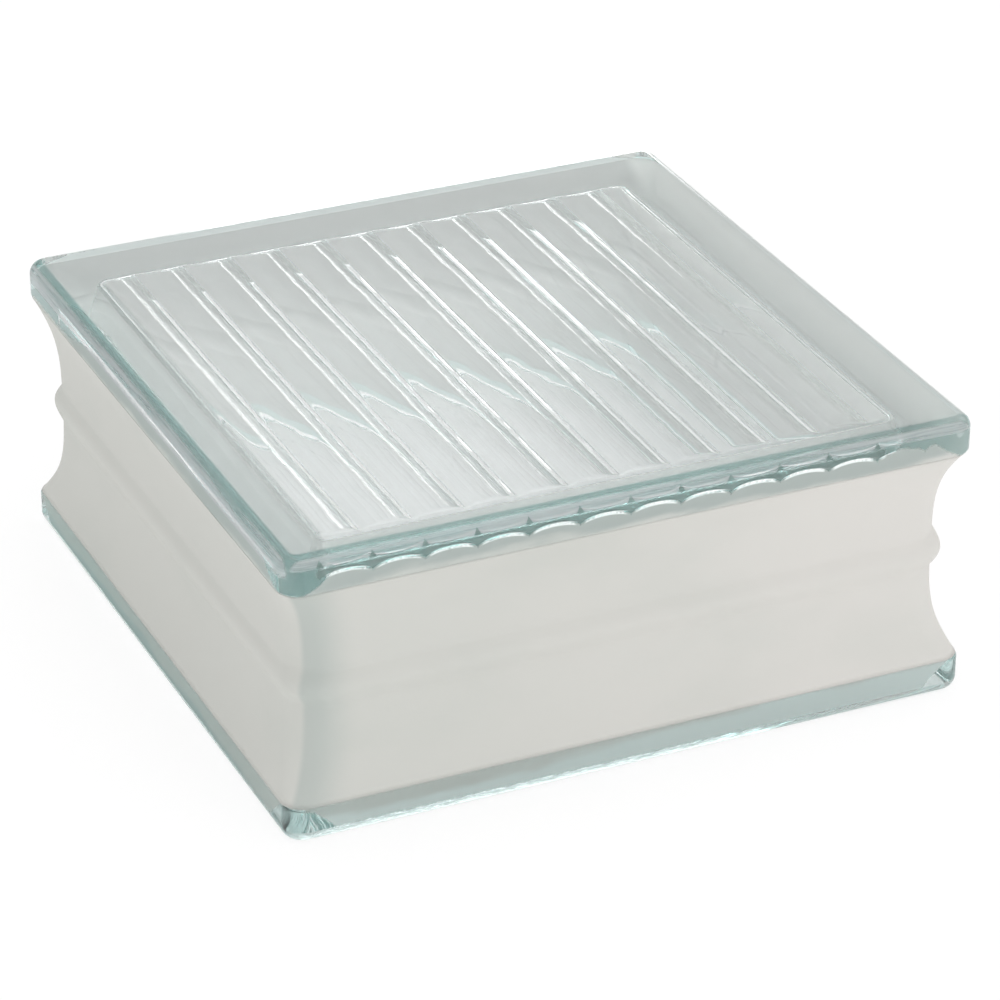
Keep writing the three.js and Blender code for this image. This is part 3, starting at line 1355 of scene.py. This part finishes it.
@dataclass(frozen=True)
class Studio:
    """A white floor, soft lamps and pale surroundings."""

    floor_size: float = 6.0
    floor_gap: float = 0.1 * MM
    floor_glow: float = 0.35
    floor_white: float = 0.9
    floor_plain: float = 0.85
    sky: tuple[float, float, float, float] = (0.38, 0.56, 0.77, 1.1)
    lamps: tuple[Lamp, ...] = (
        Lamp("top_lamp", 0.0, 88.0, 1.5, 1.2, 0.75),
        Lamp("front_lamp", 165.0, 45.0, 1.8, 1.4, 1.05),
        Lamp("side_lamp", 80.0, 35.0, 1.5, 0.5, 1.2),
        Lamp("back_lamp", 25.0, 8.0, 1.3, 0.45, 4.0),
    )

    def build(self, middle: Vector) -> None:
        """Lays the floor, hangs the lamps and sets the surroundings.

        Args:
            middle: The middle of the block.
        """
        bm = bmesh.new()
        made = bmesh.ops.create_grid(bm, x_segments=1, y_segments=1, size=self.floor_size / 2)
        bmesh.ops.translate(bm, verts=made["verts"], vec=(0.0, 0.0, -self.floor_gap))
        mesh = bpy.data.meshes.new("studio_floor")
        bm.to_mesh(mesh)
        bm.free()
        floor = bpy.data.objects.new("studio_floor", mesh)
        bpy.context.scene.collection.objects.link(floor)
        floor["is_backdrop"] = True
        floor.data.materials.append(self._floor_finish())
        for lamp in self.lamps:
            lamp.build(middle)
        self._world()

    def _floor_finish(self) -> bpy.types.Material:
        """Returns a white floor that keeps a light shadow.

        Returns:
            The material.
        """
        sheet = NodeSheet("studio_floor")
        lit = sheet.add("ShaderNodeBsdfDiffuse", Color=(*[self.floor_white] * 3, 1.0))
        path = sheet.add("ShaderNodeLightPath")
        bounced = sheet.calc("MINIMUM", path.outputs["Diffuse Depth"], 1.0)
        glow = sheet.add("ShaderNodeEmission")
        sheet.join(sheet.calc("MULTIPLY", bounced, self.floor_glow), glow.inputs["Strength"])
        both = sheet.add("ShaderNodeAddShader")
        sheet.join(lit.outputs["BSDF"], both.inputs[0])
        sheet.join(glow.outputs["Emission"], both.inputs[1])
        plain = sheet.add("ShaderNodeEmission", Color=(1.0, 1.0, 1.0, 1.0))
        share = sheet.calc("MULTIPLY", path.outputs["Is Camera Ray"], self.floor_plain)
        surface = sheet.mix(share, both.outputs["Shader"], plain.outputs["Emission"])
        sheet.join(surface, sheet.output.inputs["Surface"])
        sheet.material.cycles.emission_sampling = "NONE"
        return sheet.material

    def _world(self) -> None:
        """Sets pale surroundings that brighten upwards and are white behind the block."""
        world = bpy.data.worlds.new("studio")
        bpy.context.scene.world = world
        world.use_nodes = True
        tree = world.node_tree
        tree.nodes.clear()
        new, join = tree.nodes.new, tree.links.new
        place, split = new("ShaderNodeTexCoord"), new("ShaderNodeSeparateXYZ")
        join(place.outputs["Generated"], split.inputs["Vector"])
        rise = new("ShaderNodeMapRange")
        rise.interpolation_type = "SMOOTHSTEP"
        for label, value in zip(("From Min", "From Max", "To Min", "To Max"), self.sky):
            rise.inputs[label].default_value = value
        join(split.outputs["Z"], rise.inputs["Value"])
        light, plain = new("ShaderNodeBackground"), new("ShaderNodeBackground")
        for shader in (light, plain):
            shader.inputs["Color"].default_value = (1.0, 1.0, 1.0, 1.0)
        join(rise.outputs["Result"], light.inputs["Strength"])
        mix = new("ShaderNodeMixShader")
        join(new("ShaderNodeLightPath").outputs["Is Camera Ray"], mix.inputs["Fac"])
        join(light.outputs["Background"], mix.inputs[1])
        join(plain.outputs["Background"], mix.inputs[2])
        join(mix.outputs["Shader"], new("ShaderNodeOutputWorld").inputs["Surface"])


def main() -> None:
    """Builds the block and its studio round the frame."""
    logging.basicConfig(level=logging.INFO, format="%(name)s: %(message)s")
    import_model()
    cad_low, cad_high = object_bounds()
    middle = (cad_low + cad_high) / 2
    plan = Plan((cad_high.x - cad_low.x) / 2, (cad_high.y - cad_low.y) / 2)
    depth = cad_high.z - cad_low.z
    StudioCamera().build(middle)
    profile = SideProfile(depth)
    glass = FusedGlass(plan, profile, Cavity(plan, depth, Flutes()))
    glass.dress(glass.build())
    coating = EdgeCoating(plan, profile)
    coating.dress(coating.build())
    Studio().build(middle)
    scene = bpy.context.scene
    scene.view_settings.view_transform = "Standard"
    scene.cycles.adaptive_threshold = NOISE_LEVEL
    scene.cycles.max_bounces = LIGHT_BOUNCES
    scene.cycles.glossy_bounces = LIGHT_BOUNCES
    scene.cycles.transmission_bounces = LIGHT_BOUNCES


if __name__ == "__main__":
    main()
